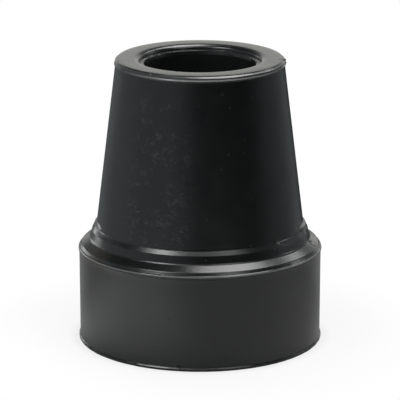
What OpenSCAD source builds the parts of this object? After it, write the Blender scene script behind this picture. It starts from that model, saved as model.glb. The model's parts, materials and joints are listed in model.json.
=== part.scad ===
// Rubber cane tip, moulded in one piece: a wide round foot, a stepped shoulder and
// a tapered socket that the end of the cane's shaft is pushed into.
// The origin is at the middle of the sole, on the floor, and +Z points up the shaft.

/* [Socket] */
// Diameter of the socket that grips the shaft
bore_d = 19; // [15:0.5:21]
// Depth of the socket, from the top face to its floor
bore_depth = 38; // [25:0.5:40]
// Width of the lead-in round the socket at the top face, which guides the shaft in
lead_in_w = 1.1; // [0.6:0.05:1.7]
// Slope of the lead-in's wall, from the upright
lead_in_angle = 48; // [30:1:60]
// Radius of the rounded mouth, between the lead-in and the top face
mouth_r = 1; // [0.3:0.05:1.2]
// Radius of the corner round the socket's floor
floor_r = 1.5; // [0.5:0.1:3]

/* [Cone] */
// Height of the whole tip, from the sole to the top face
height = 49.5; // [46:0.5:60]
// Diameter of the cone just under the rim
cone_top_d = 29.06; // [26:0.02:29.2]

/* [Rim] */
// Diameter over the two beads round the top face
rim_d = 29.4; // [29.3:0.1:32]
// Radius of each bead
bead_r = 0.27; // [0.25:0.01:0.35]
// Height from one bead's middle to the next
bead_pitch = 0.5; // [0.4:0.01:0.5]

/* [Shoulder] */
// Width of the shoulder, from the foot's wall in to the collar's edge
shoulder_w = 2.35; // [1.5:0.05:3.5]
// Height of the shoulder, from the top of the foot's wall up to the collar's edge
shoulder_h = 2.95; // [2.8:0.05:4]
// Slope of the shoulder's outer part, from the level
shoulder_angle = 36.5; // [30:0.5:45]
// Radius of the hollow that the slope runs into, up to the collar's edge
cove_r = 3.3; // [1.5:0.1:5]
// Radius of the shoulder's outer edge
edge_r = 0.5; // [0.2:0.05:0.8]

/* [Collar] */
// How far the collar's edge stands out from the line of the cone
collar_step = 0.575; // [0.4:0.025:1.5]
// Height of the collar's flare, from its edge up to the cone
flare_h = 0.75; // [0.6:0.05:2]
// Radius of the hollow between the cone and the flare
flare_r = 0.6; // [0.3:0.1:1.5]

/* [Foot] */
// Diameter of the foot's wall just under the moulding line
base_d = 42; // [37:0.5:48]
// Height of the foot's wall, up to the moulding line
wall_h = 16.35; // [11:0.05:18]
// Draft of the foot's wall, which narrows towards the sole
wall_draft = 0.2; // [0:0.05:1]
// How far the moulding line stands out from the wall
line_step = 0.12; // [0.05:0.01:0.2]
// How far the thin lip round the sole stands out from the wall
lip_step = 0.2; // [0.05:0.01:0.3]
// Height of the thin lip round the sole
lip_h = 0.4; // [0.4:0.1:1.5]
// Radius of the sole's outer edge
sole_r = 0.15; // [0.1:0.05:0.35]

/* [Tread] */
// Number of ring grooves in the sole
grooves = 3; // [1:1:4]
// Radius of the flat boss in the middle of the sole
boss_r = 4.2; // [3:0.1:4.5]
// Width of each groove at its mouth
groove_w = 2.2; // [1.6:0.1:2.4]
// Depth of each groove
groove_depth = 1.6; // [0.6:0.1:2.5]
// Draft on each side of a groove
groove_draft = 10; // [0:1:15]

/* [Hidden] */
$fn = 180;

// Radii of the turned outline
bore_r = bore_d / 2;
lead_in_r = bore_r + lead_in_w;
bead_middle_r = rim_d / 2 - bead_r;
cone_top_r = cone_top_d / 2;
wall_r = base_d / 2;
collar_r = wall_r - shoulder_w;
cone_foot_r = collar_r - collar_step;
wall_foot_r = wall_r - wall_h * tan(wall_draft);
line_r = wall_r + line_step;
lip_r = wall_foot_r + lip_step;

// Width of each ring land, outside a groove, so that they fill the sole
land_w = (wall_foot_r - boss_r) / grooves - groove_w;

// Heights above the sole, from the foot up
line_z = wall_h - edge_r;
collar_z = wall_h + shoulder_h;
flare_z = collar_z + flare_h;
rim_z = height - bead_pitch - 2 * bead_r;
bore_floor = height - bore_depth;
lead_in_z = height - lead_in_w / tan(lead_in_angle);

// Radius of the cone where the collar's flare begins
flare_top_r = cone_foot_r + (cone_top_r - cone_foot_r) * flare_h / (rim_z - collar_z);

// How far a cut runs past the face that it starts from
past = 1;
// How far a rounding arc crosses the lines that it meets, so that its ends are clean
bite = 0.001;

// The shoulder's outer corner and the collar's edge
shoulder_foot = [line_r, wall_h];
collar_edge = [collar_r, collar_z];

// The hollow touches the slope at cove_start, and its arc ends at the collar's edge
slope = [-cos(shoulder_angle), sin(shoulder_angle)];
off_slope = [sin(shoulder_angle), cos(shoulder_angle)];
reach = shoulder_foot + cove_r * off_slope - collar_edge;
slope_run = -reach * slope - sqrt(pow(reach * slope, 2) - reach * reach + pow(cove_r, 2));
cove_start = shoulder_foot + slope_run * slope;
cove_middle = cove_start + cove_r * off_slope;

// Corners of the outline that are rounded, each between its two neighbours
sole_corner = [[0, 0], [lip_r, 0], [lip_r, lip_h]];
edge_corner = [[line_r, line_z], shoulder_foot, cove_start];
flare_corner = [collar_edge, [flare_top_r, flare_z], [cone_top_r, rim_z]];
mouth_corner = [[bead_middle_r, height], [lead_in_r, height], [bore_r, lead_in_z]];
floor_corner = [[bore_r, height], [bore_r, bore_floor], [0, bore_floor]];

// The arc of radius r that rounds a corner: its middle, and where it meets either side.
function unit(v) = v / norm(v);
function half_angle(c) = acos(unit(c[0] - c[1]) * unit(c[2] - c[1])) / 2;
function arc_middle(c, r) =
    c[1] + unit(unit(c[0] - c[1]) + unit(c[2] - c[1])) * r / sin(half_angle(c));
function arc_end(c, side, r) = c[1] + unit(c[side] - c[1]) * r / tan(half_angle(c));

// A hollow corner's part of the outline. It runs out to the arc's middle and back, so
// that a disc taken from there leaves the arc.
function hollow(c, r) = [arc_end(c, 0, r), arc_middle(c, r), arc_end(c, 2, r)];

// The disc that a hollow corner is left by.
module hollow_disc(c, r) {
    translate(arc_middle(c, r)) circle(r = r + bite);
}

// What an outside corner loses when it is rounded.
module corner_cut(c, r) {
    outward = c[1] - arc_middle(c, r);
    difference() {
        polygon([arc_end(c, 0, r), c[1] + outward, arc_end(c, 2, r), arc_middle(c, r)]);
        hollow_disc(c, r);
    }
}

// Half of the outside, from the sole up to the top face.
module outside() {
    difference() {
        polygon(concat(
            [
                [0, 0],
                [lip_r, 0],
                [lip_r, lip_h],
                [wall_foot_r, lip_h + lip_step],
                [wall_r, line_z - line_step],
                [line_r, line_z],
                shoulder_foot,
                cove_start,
                cove_middle,
                collar_edge,
            ],
            hollow(flare_corner, flare_r),
            [
                [cone_top_r, rim_z],
                [bead_middle_r, rim_z + bead_r],
                [bead_middle_r, height],
                [0, height],
            ]
        ));
        translate(cove_middle) circle(r = cove_r + bite);
        hollow_disc(flare_corner, flare_r);
        corner_cut(edge_corner, edge_r);
        corner_cut(sole_corner, sole_r);
    }
}

// The two beads round the top face, one above the other.
module beads() {
    for (k = [0, 1])
        translate([bead_middle_r, height - bead_r - k * bead_pitch])
            circle(r = bead_r);
}

// The socket, with the round corner at its floor, its lead-in and its rounded mouth.
module socket() {
    difference() {
        translate([0, bore_floor]) square([bore_r, bore_depth + past]);
        corner_cut(floor_corner, floor_r);
    }
    polygon([[0, lead_in_z], [bore_r, lead_in_z], [lead_in_r, height], [0, height]]);
    corner_cut(mouth_corner, mouth_r);
}

// One ring groove of the tread, its sides drafted so that it leaves the mould.
module groove(inner_r) {
    narrowing = groove_depth * tan(groove_draft);
    outer_r = inner_r + groove_w;
    polygon([
        [inner_r, -past],
        [outer_r, -past],
        [outer_r, 0],
        [outer_r - narrowing, groove_depth],
        [inner_r + narrowing, groove_depth],
        [inner_r, 0],
    ]);
}

// The half section that is turned about the shaft's axis.
module half_section() {
    difference() {
        union() {
            outside();
            beads();
        }
        socket();
        for (k = [0 : grooves - 1]) groove(boss_r + k * (groove_w + land_w));
    }
}

module rubber_tip() {
    color([0.13, 0.135, 0.14]) rotate_extrude() half_section();
}

rubber_tip();
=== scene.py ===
"""Rubber cane tip: one moulded piece of satin black rubber, standing on its foot."""

import json
import math

import bmesh
import bpy
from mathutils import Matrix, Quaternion, Vector, noise


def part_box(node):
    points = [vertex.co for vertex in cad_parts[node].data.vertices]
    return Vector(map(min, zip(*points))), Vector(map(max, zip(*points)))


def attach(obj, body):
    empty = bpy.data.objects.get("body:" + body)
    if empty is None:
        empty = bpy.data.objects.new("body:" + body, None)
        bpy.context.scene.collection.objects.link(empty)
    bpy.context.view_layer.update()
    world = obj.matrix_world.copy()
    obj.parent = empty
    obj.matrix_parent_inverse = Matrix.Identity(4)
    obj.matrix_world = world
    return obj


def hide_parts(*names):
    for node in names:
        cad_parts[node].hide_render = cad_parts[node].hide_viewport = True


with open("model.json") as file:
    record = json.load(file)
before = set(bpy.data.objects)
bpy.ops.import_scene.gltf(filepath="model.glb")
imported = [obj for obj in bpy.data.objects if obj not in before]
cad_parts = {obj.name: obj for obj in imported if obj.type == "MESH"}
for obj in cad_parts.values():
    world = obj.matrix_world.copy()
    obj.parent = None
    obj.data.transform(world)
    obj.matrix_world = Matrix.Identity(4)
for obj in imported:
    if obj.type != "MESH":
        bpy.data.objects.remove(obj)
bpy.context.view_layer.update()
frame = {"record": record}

MM = 0.001

# ---------------------------------------------------------------- camera

AXIS_TARGET = Vector((0, 0, 24.24 * MM))
CAMERA_PITCH = math.radians(15.49)
CAMERA_DISTANCE = 491 * MM
CAMERA_LENS = 254.9
CAMERA_SENSOR = 36
CAMERA_CLIPS = (0.01, 20)


def make_camera():
    """A long lens that looks down a little at the tip's middle."""
    camera = bpy.data.cameras.new("camera")
    camera.sensor_width = CAMERA_SENSOR
    camera.lens = CAMERA_LENS
    camera.clip_start, camera.clip_end = CAMERA_CLIPS
    holder = bpy.data.objects.new("camera", camera)
    back = Vector((0, -math.cos(CAMERA_PITCH), math.sin(CAMERA_PITCH)))
    holder.location = AXIS_TARGET + back * CAMERA_DISTANCE
    holder.rotation_euler = back.to_track_quat("Z", "Y").to_euler()
    bpy.context.scene.collection.objects.link(holder)
    bpy.context.scene.camera = holder


# ---------------------------------------------------------------- shader maths


class Shade:
    """A socket of a node tree. Arithmetic on it adds the Math nodes."""

    def __init__(self, tree, socket=None):
        self.tree = tree
        self.socket = socket

    def node(self, kind, settings=None, sockets=None, output=0):
        """Adds a node: its settings first, then the values or links of its sockets."""
        made = self.tree.nodes.new("ShaderNode" + kind)
        for name, value in (settings or {}).items():
            setattr(made, name, value)
        for name, value in (sockets or {}).items():
            if isinstance(value, Shade):
                self.tree.links.new(value.socket, made.inputs[name])
            else:
                made.inputs[name].default_value = value
        if output is not None:
            return Shade(self.tree, made.outputs[output])

    def math(self, operation, first, second=0.0):
        """What a Math node gives for one or two numbers."""
        return self.node("Math", {"operation": operation}, {0: first, 1: second})

    def __add__(self, other):
        return self.math("ADD", self, other)

    def __radd__(self, other):
        return self.math("ADD", other, self)

    def __sub__(self, other):
        return self.math("SUBTRACT", self, other)

    def __rsub__(self, other):
        return self.math("SUBTRACT", other, self)

    def __mul__(self, other):
        return self.math("MULTIPLY", self, other)

    def __pow__(self, other):
        return self.math("POWER", self, other)

    def __abs__(self):
        return self.math("ABSOLUTE", self)

    def axes(self):
        """The x, y and z of a vector."""
        return [self.node("SeparateXYZ", {}, {0: self}, output=k) for k in range(3)]

    def vector(self, operation, sockets):
        """What a vector operation gives as a vector."""
        return self.node("VectorMath", {"operation": operation}, sockets)

    def measure(self, operation, first, second=(0, 0, 0)):
        """What a vector operation gives as a number, such as a length."""
        sockets = {0: first, 1: second}
        return self.node("VectorMath", {"operation": operation}, sockets, output=1)

    def ramp(self, low, high):
        """0 below low, 1 above high, with soft ends."""
        return self.node(
            "MapRange",
            {"interpolation_type": "SMOOTHSTEP"},
            {"Value": self, "From Min": low, "From Max": high},
        )


# ---------------------------------------------------------------- light

LAMP_DISTANCE = 1.6
# Each lamp's elevation and azimuth, its height and width in degrees, its strength and
# its roll.
SOFTBOXES = {
    "overhead": (70.9, 141.7, 38, 29, 9.5, 38.3),
    "front_top": (68, 3, 12, 60, 2.2, 0),
    "front_left": (54, -58, 16, 20, 11, 0),
    "front_right": (48, 37, 16, 20, 3, 0),
    "high_right": (38, 139, 14, 12, 5, 0),
    "back_right": (20, 108, 12, 14, 3, 0),
    "back_left": (4, -140, 14, 24, 2.2, 0),
}

# How bright the room and its walls are, and the tints of the room and the wall behind.
DARK_ROOM = 0.04
LEFT_WALL = 0.45
RIGHT_WALL = 0.22
ROOM_TINT = (0.92, 1, 1.03)
BEHIND_TINT = (1, 1, 0.95)
# Where the walls fade in or out, along one axis of the direction that is looked in.
WALLS_TOP = (0.35, 0.75)
BEHIND_SIDE = (0.7, 0.95)
BEHIND_FOOT = (-0.15, 0.05)
BEHIND_TOP = (0.25, 0.5)
BEHIND_END = (-0.42, -0.2)
LEFT_SIDE = (-0.65, 0.1)
LEFT_END = (0.1, 0.75)
LEFT_END_SHARE = 0.5
RIGHT_SIDE = (0.3, 0.6)
RIGHT_END = (-0.5, 0.1)


def heading(elevation, azimuth):
    """The direction at an elevation, and at an azimuth to the right of the camera."""
    up, turn = math.radians(elevation), math.radians(azimuth)
    return Vector(
        (math.cos(up) * math.sin(turn), -math.cos(up) * math.cos(turn), math.sin(up))
    )


def softbox(name, elevation, azimuth, tall, wide, strength, roll):
    """A rectangular lamp that faces the tip; tall and wide are the degrees it spans."""
    lamp = bpy.data.lights.new(name, "AREA")
    lamp.shape = "RECTANGLE"
    lamp.size = 2 * LAMP_DISTANCE * math.tan(math.radians(wide / 2))
    lamp.size_y = 2 * LAMP_DISTANCE * math.tan(math.radians(tall / 2))
    lamp.energy = strength * lamp.size * lamp.size_y * math.pi
    holder = bpy.data.objects.new(name, lamp)
    out = heading(elevation, azimuth)
    holder.location = AXIS_TARGET + out * LAMP_DISTANCE
    turn = Quaternion((0, 0, 1), math.radians(roll))
    holder.rotation_euler = (out.to_track_quat("Z", "Y") @ turn).to_euler()
    bpy.context.scene.collection.objects.link(holder)


def make_world():
    """A dim room in front, a grey wall at either side and a pale one behind."""
    world = bpy.data.worlds.new("studio")
    world.use_nodes = True
    world.node_tree.nodes.clear()
    bpy.context.scene.world = world
    tree = Shade(world.node_tree)
    way = tree.node("TexCoord")
    x, y, z = way.axes()
    low = 1 - z.ramp(*WALLS_TOP)
    behind = y.ramp(*BEHIND_SIDE) * x.ramp(*BEHIND_END)
    behind *= z.ramp(*BEHIND_FOOT) * (1 - z.ramp(*BEHIND_TOP))
    left = (1 - x.ramp(*LEFT_SIDE)) * low * (1 - y.ramp(*LEFT_END) * LEFT_END_SHARE)
    right = x.ramp(*RIGHT_SIDE) * y.ramp(*RIGHT_END) * low
    room = DARK_ROOM + left * LEFT_WALL + right * RIGHT_WALL
    tints = enumerate(zip(ROOM_TINT, BEHIND_TINT))
    levels = {k: room * tint + behind * behind_tint for k, (tint, behind_tint) in tints}
    surround = tree.node("CombineColor", {}, levels)
    seen = tree.node("LightPath")
    around = tree.node("Background", {}, {"Color": surround, "Strength": 1.0})
    backdrop = tree.node("Background", {}, {"Color": (1, 1, 1, 1), "Strength": 1.0})
    mixed = tree.node("MixShader", {}, {0: seen, 1: around, 2: backdrop})
    tree.node("OutputWorld", {}, {"Surface": mixed}, output=None)


def make_light():
    """The room's dim light and the lamps in it."""
    make_world()
    for name, settings in SOFTBOXES.items():
        softbox(name, *settings)


# ---------------------------------------------------------------- floor

FLOOR_FRONT = -0.2
FLOOR_BACK = 0.07
FLOOR_SIDE = 0.1
# The table's colour, with a painted pool of light at the left front and painted shade at the
# back.
TABLE = 0.41
PAINTED_LIGHT_POOL = (-0.042, -0.033, 0)
PAINTED_POOL_FADES = (0.015, 0.05)
PAINTED_POOL_PALER = 0.46
PAINTED_SHADE_FADES = (-0.02, 0.02)
PAINTED_SHADE_DARKER = 0.17
# How much of the table is paper white: to the lens under the shadow, what is added past
# the tip's edge and past the shadow, and to the light that bounces off it.
SHADOW_WHITE = 0.79
CONTACT_WHITE = 0.11
CONTACT_FADES = (0.0212, 0.0232)
AWAY_WHITE = 0.1
SHADOW_FADES = (0.022, 0.045)
BOUNCE_WHITE = 0.06


def make_floor():
    """A white table top, which the lens sees as paper white with the tip's soft shadow."""
    mesh = bmesh.new()
    corners = (
        (-FLOOR_SIDE, FLOOR_FRONT, 0),
        (FLOOR_SIDE, FLOOR_FRONT, 0),
        (FLOOR_SIDE, FLOOR_BACK, 0),
        (-FLOOR_SIDE, FLOOR_BACK, 0),
    )
    mesh.faces.new([mesh.verts.new(corner) for corner in corners])
    data = bpy.data.meshes.new("floor")
    mesh.to_mesh(data)
    mesh.free()
    floor = bpy.data.objects.new("floor", data)
    bpy.context.scene.collection.objects.link(floor)
    material = bpy.data.materials.new("floor_with_painted_light")
    material.use_nodes = True
    material.node_tree.nodes.clear()
    tree = Shade(material.node_tree)
    place = tree.node("TexCoord", output=3)
    # A painted pool of light at the left front, in the table's colour.
    painted_light_pool = 1 - tree.measure("DISTANCE", place, PAINTED_LIGHT_POOL).ramp(*PAINTED_POOL_FADES)
    # Painted shade: the table's colour is darker behind the tip.
    back = place.axes()[1].ramp(*PAINTED_SHADE_FADES)
    pale = TABLE - back * PAINTED_SHADE_DARKER + painted_light_pool * PAINTED_POOL_PALER
    matt = tree.node("BsdfDiffuse", {}, {"Color": pale})
    paper = tree.node("Emission", {}, {"Color": (1, 1, 1, 1), "Strength": 1.0})
    seen = tree.node("LightPath")
    off_axis = tree.measure("LENGTH", place)
    clear = off_axis.ramp(*CONTACT_FADES)
    away = off_axis.ramp(*SHADOW_FADES)
    white = SHADOW_WHITE + clear * CONTACT_WHITE + away * AWAY_WHITE
    share = seen * white + (1 - seen) * BOUNCE_WHITE
    mixed = tree.node("MixShader", {}, {0: share, 1: matt, 2: paper})
    tree.node("OutputMaterial", {}, {"Surface": mixed}, output=None)
    data.materials.append(material)


# ---------------------------------------------------------------- the tip's sizes

# The source's own sizes, in millimetres.
BORE_R = frame["record"]["mounts"][0]["dims"]["r_mm"]
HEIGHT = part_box("rubber_tip")[1].z / MM
BORE_DEPTH = 38.0
FLOOR_R = 1.5
CONE_TOP_R = 14.53
CONE_FOOT_R = 18.075
RIM_R = 14.7
BEAD_R = 0.27
BEAD_PITCH = 0.5
COLLAR_R = 18.65
FLARE_H = 0.75
FLARE_R = 0.6
WALL_R = 21.0
WALL_H = 16.35
SHOULDER_H = 2.95
WALL_DRAFT = math.radians(0.2)
EDGE_R = 0.5
LINE_STEP = 0.12
LIP_STEP = 0.2
LIP_H = 0.4
SOLE_R = 0.15
GROOVES = 3
BOSS_R = 4.2
GROOVE_W = 2.2
GROOVE_DEPTH = 1.6
GROOVE_DRAFT = math.radians(10)

# What the photo shows finer than the source, as corners of the outline: how far out, how
# far up, and the radius that rounds each. From the top of the foot's wall, the narrow
# ledge inside the moulding line and the crest above it.
LEDGE_CORNERS = (
    (0, -0.03, 0.42),
    (-0.29, 0.12, 0.08),
    (-0.58, 0.6, 0.5),
)
# From the collar's edge, the corner of the hollow under it.
COVE_CORNER = (0.47, -1.38, 0.8)
# From the top of the rim's edge, its two beads and the fine line inside them.
RIM_CORNERS = (
    (0, -1.0, 0.08),
    (0.01, -0.82, 0.05),
    (-0.17, -0.64, 0.05),
    (-0.19, -0.55, 0),
    (-0.1, -0.46, 0.03),
    (-0.1, -0.36, 0.05),
    (-0.44, -0.14, 0.06),
    (-0.5, -0.2, 0),
    (-0.53, 0, 0.02),
)
# How wide and how tall the mouth's rounding is, the step under it, and the thin ring of
# flash that stands in to the socket there.
LIP_WIDE = 1.2
LIP_TALL = 0.8
STEP_R = 10.35
STEP_DEPTH = 0.85
FLASH_R = 9.65
FLASH_DEPTH = 0.92
FLASH_UNDERCUT = 0.6
# The radii that round the smaller corners.
GROOVE_MOUTH_R = 0.12
GROOVE_BOTTOM_R = 0.2
COLLAR_EDGE_R = 0.12
STEP_CORNER_R = 0.1
LINE_FOOT_R = 0.08
LINE_CORNER_R = 0.05
RIM_FOOT_R = 0.08
FINE_R = 0.04
# How much lower the beads' foot is than the source's.
RIM_FOOT = 0.06

LINE_R = WALL_R + LINE_STEP
LINE_Z = WALL_H - EDGE_R
WALL_FOOT_R = WALL_R - WALL_H * math.tan(WALL_DRAFT)
LIP_R = WALL_FOOT_R + LIP_STEP
LAND_W = (WALL_FOOT_R - BOSS_R) / GROOVES - GROOVE_W
COLLAR_Z = WALL_H + SHOULDER_H
FLARE_Z = COLLAR_Z + FLARE_H
RIM_Z = HEIGHT - BEAD_PITCH - 2 * BEAD_R
BORE_FLOOR = HEIGHT - BORE_DEPTH
# The collar's lip is rolled up to this height, and the fine band above it gives the roll
# a sharp edge.
ROLL_Z = 20.36
ROLL_BAND = 0.05


def cone_r(z):
    """The cone's radius at a height."""
    return CONE_FOOT_R + (CONE_TOP_R - CONE_FOOT_R) * (z - COLLAR_Z) / (RIM_Z - COLLAR_Z)


FLARE_TOP_R = cone_r(FLARE_Z)


def from_corner(radius, height, offsets):
    """Corners whose places are given from one point of the outline."""
    return [(radius + out, height + up, rounding) for out, up, rounding in offsets]


def lip_arc(steps=8):
    """Corners along the mouth's rounding, from the top face down to the step."""
    angles = [math.radians(90 + 90 * k / steps) for k in range(steps + 1)]
    middle_r, middle_z = STEP_R + LIP_WIDE, HEIGHT - LIP_TALL
    return [
        (middle_r + LIP_WIDE * math.cos(angle), middle_z + LIP_TALL * math.sin(angle), 0)
        for angle in angles
    ]


def half_outline():
    """The half section's corners: radius, height, and the radius that rounds each."""
    corners = [(0, 0, 0)]
    radius = BOSS_R
    narrowing = GROOVE_DEPTH * math.tan(GROOVE_DRAFT)
    for _ in range(GROOVES):
        corners += [
            (radius, 0, GROOVE_MOUTH_R),
            (radius + narrowing, GROOVE_DEPTH, GROOVE_BOTTOM_R),
            (radius + GROOVE_W - narrowing, GROOVE_DEPTH, GROOVE_BOTTOM_R),
            (radius + GROOVE_W, 0, GROOVE_MOUTH_R),
        ]
        radius += GROOVE_W + LAND_W
    corners += [
        (LIP_R, 0, SOLE_R),
        (LIP_R, LIP_H, FINE_R),
        (WALL_FOOT_R, LIP_H + LIP_STEP, STEP_CORNER_R),
        (WALL_R, LINE_Z - LINE_STEP, LINE_FOOT_R),
        (LINE_R, LINE_Z, LINE_CORNER_R),
    ]
    corners += from_corner(LINE_R, WALL_H, LEDGE_CORNERS)
    corners += from_corner(COLLAR_R, COLLAR_Z, [COVE_CORNER, (0, 0, COLLAR_EDGE_R)])
    corners += [
        (FLARE_TOP_R, FLARE_Z, FLARE_R),
        (cone_r(ROLL_Z), ROLL_Z, 0),
        (cone_r(ROLL_Z + ROLL_BAND), ROLL_Z + ROLL_BAND, 0),
        (CONE_TOP_R, RIM_Z - RIM_FOOT, RIM_FOOT_R),
    ]
    corners += from_corner(RIM_R, HEIGHT, RIM_CORNERS)
    corners += lip_arc()
    corners += [
        (STEP_R, HEIGHT - STEP_DEPTH, STEP_CORNER_R),
        (FLASH_R, HEIGHT - FLASH_DEPTH, FINE_R),
        (BORE_R, HEIGHT - FLASH_DEPTH - FLASH_UNDERCUT, STEP_CORNER_R),
        (BORE_R, BORE_FLOOR, FLOOR_R),
        (0, BORE_FLOOR, 0),
    ]
    return corners


# How many segments round a turn, a wide corner and a fine one have, and the radius from
# which a corner is wide.
TURN_STEPS = 288
WIDE_SEGMENTS = 8
FINE_SEGMENTS = 4
WIDE_FROM = 0.2
# Edges of the outline that are longer than this are cut into pieces of about 1 mm.
LONG_EDGE = 1.5
MERGE_WITHIN = 0.001


def turned_mesh(corners):
    """Rounds each corner of the outline and turns it about the axis."""
    mesh = bmesh.new()
    points = [mesh.verts.new((r * MM, 0, z * MM)) for r, z, _ in corners]
    for pair in zip(points, points[1:]):
        mesh.edges.new(pair)
    for k, (_, _, rounding) in enumerate(corners):
        if not rounding:
            continue
        here = Vector(corners[k][:2])
        before = (Vector(corners[k - 1][:2]) - here).normalized()
        after = (Vector(corners[k + 1][:2]) - here).normalized()
        half_angle = before.angle(after) / 2
        bmesh.ops.bevel(
            mesh,
            geom=[points[k]],
            offset=rounding / math.tan(half_angle) * MM,
            offset_type="OFFSET",
            segments=WIDE_SEGMENTS if rounding > WIDE_FROM else FINE_SEGMENTS,
            profile=0.5,
            affect="VERTICES",
            material=-1,
        )
    mesh.edges.ensure_lookup_table()
    long_edges = [e for e in mesh.edges if e.calc_length() > LONG_EDGE * MM]
    for edge in long_edges:
        bmesh.ops.subdivide_edges(mesh, edges=[edge], cuts=int(edge.calc_length() / MM))
    bmesh.ops.spin(
        mesh,
        geom=mesh.verts[:] + mesh.edges[:],
        cent=(0, 0, 0),
        axis=(0, 0, 1),
        angle=math.tau,
        steps=TURN_STEPS,
        use_merge=True,
    )
    bmesh.ops.remove_doubles(mesh, verts=mesh.verts[:], dist=MERGE_WITHIN * MM)
    bmesh.ops.recalc_face_normals(mesh, faces=mesh.faces[:])
    return mesh


# ---------------------------------------------------------------- the tip

# The collar and the moulding line lie farther out than this, and the socket farther in.
MOVED_FROM = CONE_TOP_R + 0.5
# How far the front is lifted at each height, as the moulding line and the collar sit a
# little askew on the real tip.
LIFTS = ((12.5, 0), (15.5, 0.32), (16.8, 0.32), (19.2, 0.33), (20.2, 0.33), (24, 0))
# At either side the collar's lip is rolled up: how far out at each height, and the
# shares of the radius, sideways, between which the roll begins.
ROLL = ((18.9, 0), (19.42, 0.15), (19.7, 0.28), (20.0, 0.4), (ROLL_Z + 0.02, 0.36))
ROLL_SIDES = (0.94, 1.0)
# A tab of flash stands on the rim at the right.
TAB = Vector((14.6, -0.6, 49.2))
TAB_REACH = 0.9
TAB_PUSH = Vector((0.15, 0, 0.2))
# The thin moulded edges that run unevenly: the lowest and highest radius, the lowest and
# highest height, the wave's length, and how far it sways out and up.
RAGGED_EDGES = (
    (14.35, 14.8, HEIGHT - 1.05, HEIGHT - 0.1, 1.6, 0.05, 0.04),
    (BORE_R + 0.02, STEP_R - 0.05, HEIGHT - 1.3, HEIGHT - 0.8, 1.8, 0.12, 0.04),
    (STEP_R, STEP_R + 0.5, HEIGHT - 0.6, HEIGHT + 1, 3.0, 0.03, 0.0),
    (18.5, 18.8, 19.0, 19.5, 1.8, 0.05, 0.03),
    (20.6, 21.3, 15.7, 16.7, 2.2, 0.02, 0.05),
    (20.9, 21.3, -1, 0.7, 1.2, 0.05, 0.03),
)
# Where the noise for the sway up is read, from where the sway out is.
UP_SHIFT = Vector((9, 4, 2))
# The sole and the top face stay flat: heights between these may sway up.
SWAY_HEIGHTS = (0.05, HEIGHT - 0.01)


def smooth(value, low, high):
    """0 below low, 1 above high, with soft ends."""
    share = min(max((value - low) / (high - low), 0), 1)
    return share * share * (3 - 2 * share)


def roll_flash(mesh):
    """Rolls the collar's lip up at the sides and pulls out the rim's tab."""
    for vertex in mesh.verts:
        place = vertex.co / MM
        radius = math.hypot(place.x, place.y)
        if radius > MOVED_FROM:
            outward = Vector((place.x, place.y, 0)).normalized()
            side = smooth(abs(place.x) / radius, *ROLL_SIDES)
            for (low, first), (high, last) in zip(ROLL, ROLL[1:]):
                if low <= place.z < high:
                    out = first + (last - first) * (place.z - low) / (high - low)
                    vertex.co += outward * side * out * MM
        near = 1 - smooth((place - TAB).length, 0, TAB_REACH)
        vertex.co += TAB_PUSH * near * MM


def lift_front(mesh):
    """Tilts the moulding line and the collar: up at the front and down at the back."""
    for vertex in mesh.verts:
        x, y, z = vertex.co / MM
        if math.hypot(x, y) < MOVED_FROM:
            continue
        for (low, first), (high, last) in zip(LIFTS, LIFTS[1:]):
            if low <= z < high:
                lift = first + (last - first) * smooth(z, low, high)
                vertex.co.z += -y / LINE_R * lift * MM


def make_ragged(mesh):
    """Makes the thin moulded edges uneven, each with its own size of wave."""
    for vertex in mesh.verts:
        place = vertex.co / MM
        radius = math.hypot(place.x, place.y)
        flat = Vector((place.x, place.y, 0))
        for inner, outer, low, high, wave, out, up in RAGGED_EDGES:
            if inner < radius < outer and low < place.z < high:
                vertex.co += flat.normalized() * noise.noise(flat / wave) * out * MM
                if SWAY_HEIGHTS[0] < place.z < SWAY_HEIGHTS[1]:
                    vertex.co.z += noise.noise(flat / wave + UP_SHIFT) * up * MM


# The photo's own marks, as strokes: from one point to another, and how wide.
NICKS = (
    ((18.54, -2.94, 18.95), (18.66, -3.29, 18.35), 0.8),
    ((18.66, -3.6, 18.35), (19.2, -4.4, 17.62), 0.6),
)
PITS = (
    ((-8.13, -11.9, 49.4), (-8.1, -11.95, 49.25), 0.2),
    ((-7.05, -19.91, 16.75), (-6.5, -20.1, 16.5), 0.14),
    ((4.4, -20.7, 16.4), (5.5, -20.4, 16.4), 0.08),
    ((-3.6, -20.63, 0.75), (-3.3, -20.7, 0.7), 0.2),
    ((16.4, -13.1, 0.45), (17.6, -11.4, 0.5), 0.14),
)
BLISTERS = (((12.75, -12.6, 20.4), (13.1, -12.4, 20.3), 0.45),)
STAINS = (((-18.6, -7.9, 17.2), (-17.0, -11.5, 16.9), 2.2),)
# Painted highlights where the flash inside the mouth catches the light.
PAINTED_GLINTS = (
    ((-10.0, 1.8, 48.62), (-9.2, 3.75, 48.62), 0.12),
    ((-8.5, 5.0, 48.62), (-8.2, 5.4, 48.62), 0.16),
    ((-7.25, 6.5, 48.62), (-7.0, 6.7, 48.62), 0.18),
)
# A stroke is whole up to the first share of its width and gone at the second.
STROKE_FADES = (0.4, 1.3)

# The noises, each with its size, detail and roughness.
BLOTCH_CLOUD = (0.22, 3.0, 0.6)
GRAIN_CLOUD = (3.2, 3.0, 0.7)
SWELL_CLOUD = (0.16, 1.0, 0.5)
MOTTLE_CLOUD = (0.8, 4.0, 0.8)
# The dust specks, which sit in some of the cells of a pattern.
SPECK_CELLS = 0.8
SPECK_FADES = (0.05, 0.16)
SPECK_CHOICE = (0.7, 0.72)

# The moulding line's scuff and painted highlight: its middle, how much its front is lifted,
# how far its colour reaches up and down, and the radius from which it shows.
LINE_HEIGHT = 16.25
LINE_TILT = 0.32
LINE_FADES = (0.06, 0.16)
LINE_SKIN = (20.75, 20.9)
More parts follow.
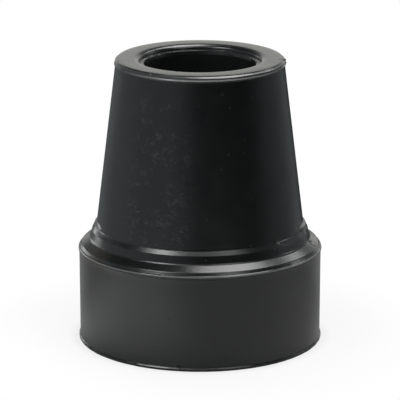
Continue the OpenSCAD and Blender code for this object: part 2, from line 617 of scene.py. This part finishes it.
# The same for the painted highlight on the rim's lower bead, which is only at the front.
BEAD_HIGHLIGHT_HEIGHT = HEIGHT - 0.72
BEAD_HIGHLIGHT_FADES = (0.08, 0.18)
BEAD_HIGHLIGHT_SKIN = (14.35, 14.45)
BEAD_HIGHLIGHT_FRONT = (-13, -6)
# Where the rim's scuff and painted highlight begin, from the axis and from the floor.
RIM_SKIN = (14.2, 14.3)
RIM_FROM = (48.5, 48.6)
# Where the socket's wall ends, from the axis and from the floor.
SOCKET_SKIN = (9.5, 9.8)
SOCKET_TOP = (47.8, 48.3)
# Where the cone's mottling begins and ends, and the share of the noise that it takes.
MOTTLE_LEFT = (-15, -9)
MOTTLE_RIGHT = (-4, 0)
MOTTLE_FOOT = (18, 24)
MOTTLE_TOP = (44, 48)
MOTTLE_FADES = (0.53, 0.66)
MOTTLE_PATCHES = (0.4, 0.55)
BLOOM_PATCHES = (0.45, 0.75)

# How strongly each edge is scuffed and painted with a highlight, and how far the grain breaks
# them up.
EDGE_SCUFF_AND_HIGHLIGHT_SHARES = {"line": 1.15, "rim": 0.3, "bead": 1.5, "painted_glint": 1}
SCUFF_AND_HIGHLIGHT_EVEN = 0.6
SCUFF_AND_HIGHLIGHT_GRAIN = 0.8
# The rubber's own black, how much paler each mark or painted highlight makes it, and the
# stain's tint.
BLACK = (0.0042, 0.005, 0.005)
PALER = {"bloom": 0.003, "speck": 0.015, "socket": 0.008, "scuffs_and_painted_highlights": 0.09, "mottle": 0.006}
STAIN_TINT = (0.02, 0.013, 0.007)
# How rough the rubber is, and how much rougher each of these makes it.
ROUGHNESS = 0.21
ROUGHER = {"blotch": 0.06, "grain": 0.03, "nick": 0.3}
# How high each mark stands in the bump, in millimetres.
RISES = {
    "grain": 0.012,
    "swell": 0.05,
    "speck": 0.02,
    "mottle": 0.04,
    "blister": 0.06,
    "nick": -0.4,
    "pit": -0.12,
}
RUBBER_IOR = 1.5


def cloud(place, scale, detail, roughness):
    """A noise between 0 and 1."""
    sockets = {"Vector": place, "Scale": scale, "Detail": detail, "Roughness": roughness}
    return place.node("TexNoise", {}, sockets)


def stroke(place, start, end, width):
    """1 along a stroke, and 0 beyond its width."""
    start, end = Vector(start), Vector(end)
    run = end - start
    off = place.vector("SUBTRACT", {0: place, 1: start})
    along = place.measure("DOT_PRODUCT", off, run) * (1 / run.length_squared)
    share = place.node("Clamp", {}, {0: along})
    nearest = place.vector("SCALE", {0: run, "Scale": share})
    near, far = (width * fade for fade in STROKE_FADES)
    return 1 - place.measure("DISTANCE", off, nearest).ramp(near, far)


def edge_scuffs_and_highlights(place, grain):
    """Edge scuffs and painted highlights: the moulding line, the rim, its lower bead and the
    flash.
    """
    x, y, z = place.axes()
    radius = (x * x + y * y) ** 0.5
    # The moulding line's paler band is partly a scuff and partly a painted highlight.
    line = 1 - abs(z - (LINE_HEIGHT - y * (LINE_TILT / LINE_R))).ramp(*LINE_FADES)
    # The lower bead's paler band is a painted highlight, at the front only.
    bead = 1 - abs(z - BEAD_HIGHLIGHT_HEIGHT).ramp(*BEAD_HIGHLIGHT_FADES)
    front = 1 - y.ramp(*BEAD_HIGHLIGHT_FRONT)
    edges = {
        "line": line * radius.ramp(*LINE_SKIN),
        # The rim's paler edge is partly a scuff and partly a painted highlight.
        "rim": radius.ramp(*RIM_SKIN) * z.ramp(*RIM_FROM),
        "bead": bead * radius.ramp(*BEAD_HIGHLIGHT_SKIN) * front,
        # Painted highlights on the flash inside the mouth.
        "painted_glint": sum(stroke(place, *mark) for mark in PAINTED_GLINTS),
    }
    scuffs_and_highlights = sum(edges[name] * share for name, share in EDGE_SCUFF_AND_HIGHLIGHT_SHARES.items())
    return scuffs_and_highlights * (SCUFF_AND_HIGHLIGHT_EVEN + grain * SCUFF_AND_HIGHLIGHT_GRAIN)


def rubber_marks(place):
    """Everything that changes the rubber's tone, gloss or height, by name."""
    x, y, z = place.axes()
    radius = (x * x + y * y) ** 0.5
    cells = {"Vector": place, "Scale": SPECK_CELLS, "Randomness": 1.0}
    cell_colour = place.node("TexVoronoi", {}, cells, output=1)
    chosen = place.node("SeparateColor", {}, {0: cell_colour}).ramp(*SPECK_CHOICE)
    dots = 1 - place.node("TexVoronoi", {}, cells).ramp(*SPECK_FADES)
    blotch = cloud(place, *BLOTCH_CLOUD)
    grain = cloud(place, *GRAIN_CLOUD)
    mottled = x.ramp(*MOTTLE_LEFT) * (1 - x.ramp(*MOTTLE_RIGHT))
    mottled *= z.ramp(*MOTTLE_FOOT) * (1 - z.ramp(*MOTTLE_TOP))
    mottled *= blotch.ramp(*MOTTLE_PATCHES)
    return {
        "blotch": blotch,
        "bloom": blotch.ramp(*BLOOM_PATCHES),
        "grain": grain,
        "swell": cloud(place, *SWELL_CLOUD),
        "speck": dots * chosen,
        "mottle": cloud(place, *MOTTLE_CLOUD).ramp(*MOTTLE_FADES) * mottled,
        "socket": (1 - radius.ramp(*SOCKET_SKIN)) * (1 - z.ramp(*SOCKET_TOP)),
        # Edge scuffs mixed with painted highlights on the line, rim, lower bead and flash.
        "scuffs_and_painted_highlights": edge_scuffs_and_highlights(place, grain),
        "nick": sum(stroke(place, *mark) for mark in NICKS),
        "pit": sum(stroke(place, *mark) for mark in PITS),
        "blister": sum(stroke(place, *mark) for mark in BLISTERS),
        "stain": sum(stroke(place, *mark) for mark in STAINS) * blotch,
    }


def rubber_material():
    """Satin black rubber: mould grain, a faint bloom, dust specks, the photo's marks, and
    edge scuffs with painted highlights.
    """
    material = bpy.data.materials.new("satin_rubber")
    material.use_nodes = True
    material.node_tree.nodes.clear()
    tree = Shade(material.node_tree)
    metres = tree.node("TexCoord", output=3)
    marks = rubber_marks(tree.vector("SCALE", {0: metres, "Scale": 1 / MM}))
    paler = sum(marks[name] * share for name, share in PALER.items())
    levels = [paler + black + marks["stain"] * tint for black, tint in zip(BLACK, STAIN_TINT)]
    colour = tree.node("CombineColor", {}, dict(enumerate(levels)))
    height = sum(marks[name] * rise for name, rise in RISES.items())
    bump = tree.node("Bump", {}, {"Strength": 1.0, "Distance": MM, "Height": height})
    surface = tree.node("BsdfPrincipled", {}, {
        "Base Color": colour,
        "Roughness": ROUGHNESS + sum(marks[name] * more for name, more in ROUGHER.items()),
        "IOR": RUBBER_IOR,
        "Normal": bump,
    })
    tree.node("OutputMaterial", {}, {"Surface": surface}, output=None)
    return material


def make_tip():
    """The whole tip, which takes the place of the source's solid."""
    mesh = turned_mesh(half_outline())
    roll_flash(mesh)
    lift_front(mesh)
    make_ragged(mesh)
    data = bpy.data.meshes.new("tip")
    mesh.to_mesh(data)
    mesh.free()
    data.shade_smooth()
    tip = bpy.data.objects.new("tip", data)
    bpy.context.scene.collection.objects.link(tip)
    data.materials.append(rubber_material())
    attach(tip, "root")
    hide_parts("rubber_tip")


make_camera()
make_light()
make_floor()
make_tip()

bpy.context.scene.view_settings.view_transform = "Standard"
bpy.context.view_layer.update()
